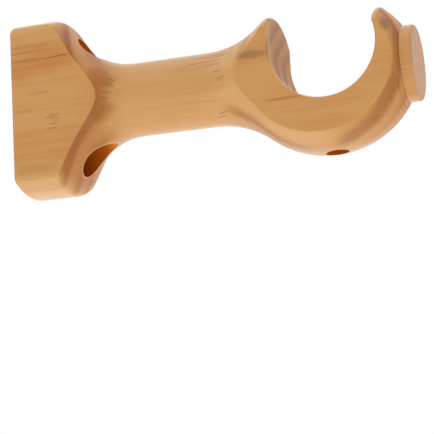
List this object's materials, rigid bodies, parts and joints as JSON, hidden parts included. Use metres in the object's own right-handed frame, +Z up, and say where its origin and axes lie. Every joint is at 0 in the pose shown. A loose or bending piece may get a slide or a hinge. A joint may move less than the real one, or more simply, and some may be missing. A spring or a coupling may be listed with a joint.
{
  "type": "curtain pole bracket",
  "caption": "Turned wooden wall bracket with flat sides, a waisted neck and an open-topped seat that carries a curtain pole off the wall.",
  "frame": {"origin": "centre of the wall face, on the turning axis", "axes": "+X out from the wall along the arm, +Z up, the pole lies along Y"},
  "size_m": [0.113, 0.0244, 0.05],
  "materials": {
    "wood": "honey-coloured softwood under a satin clear lacquer"
  },
  "bodies": {
    "root": {"bracket": "wood"}
  },
  "joints": []
}
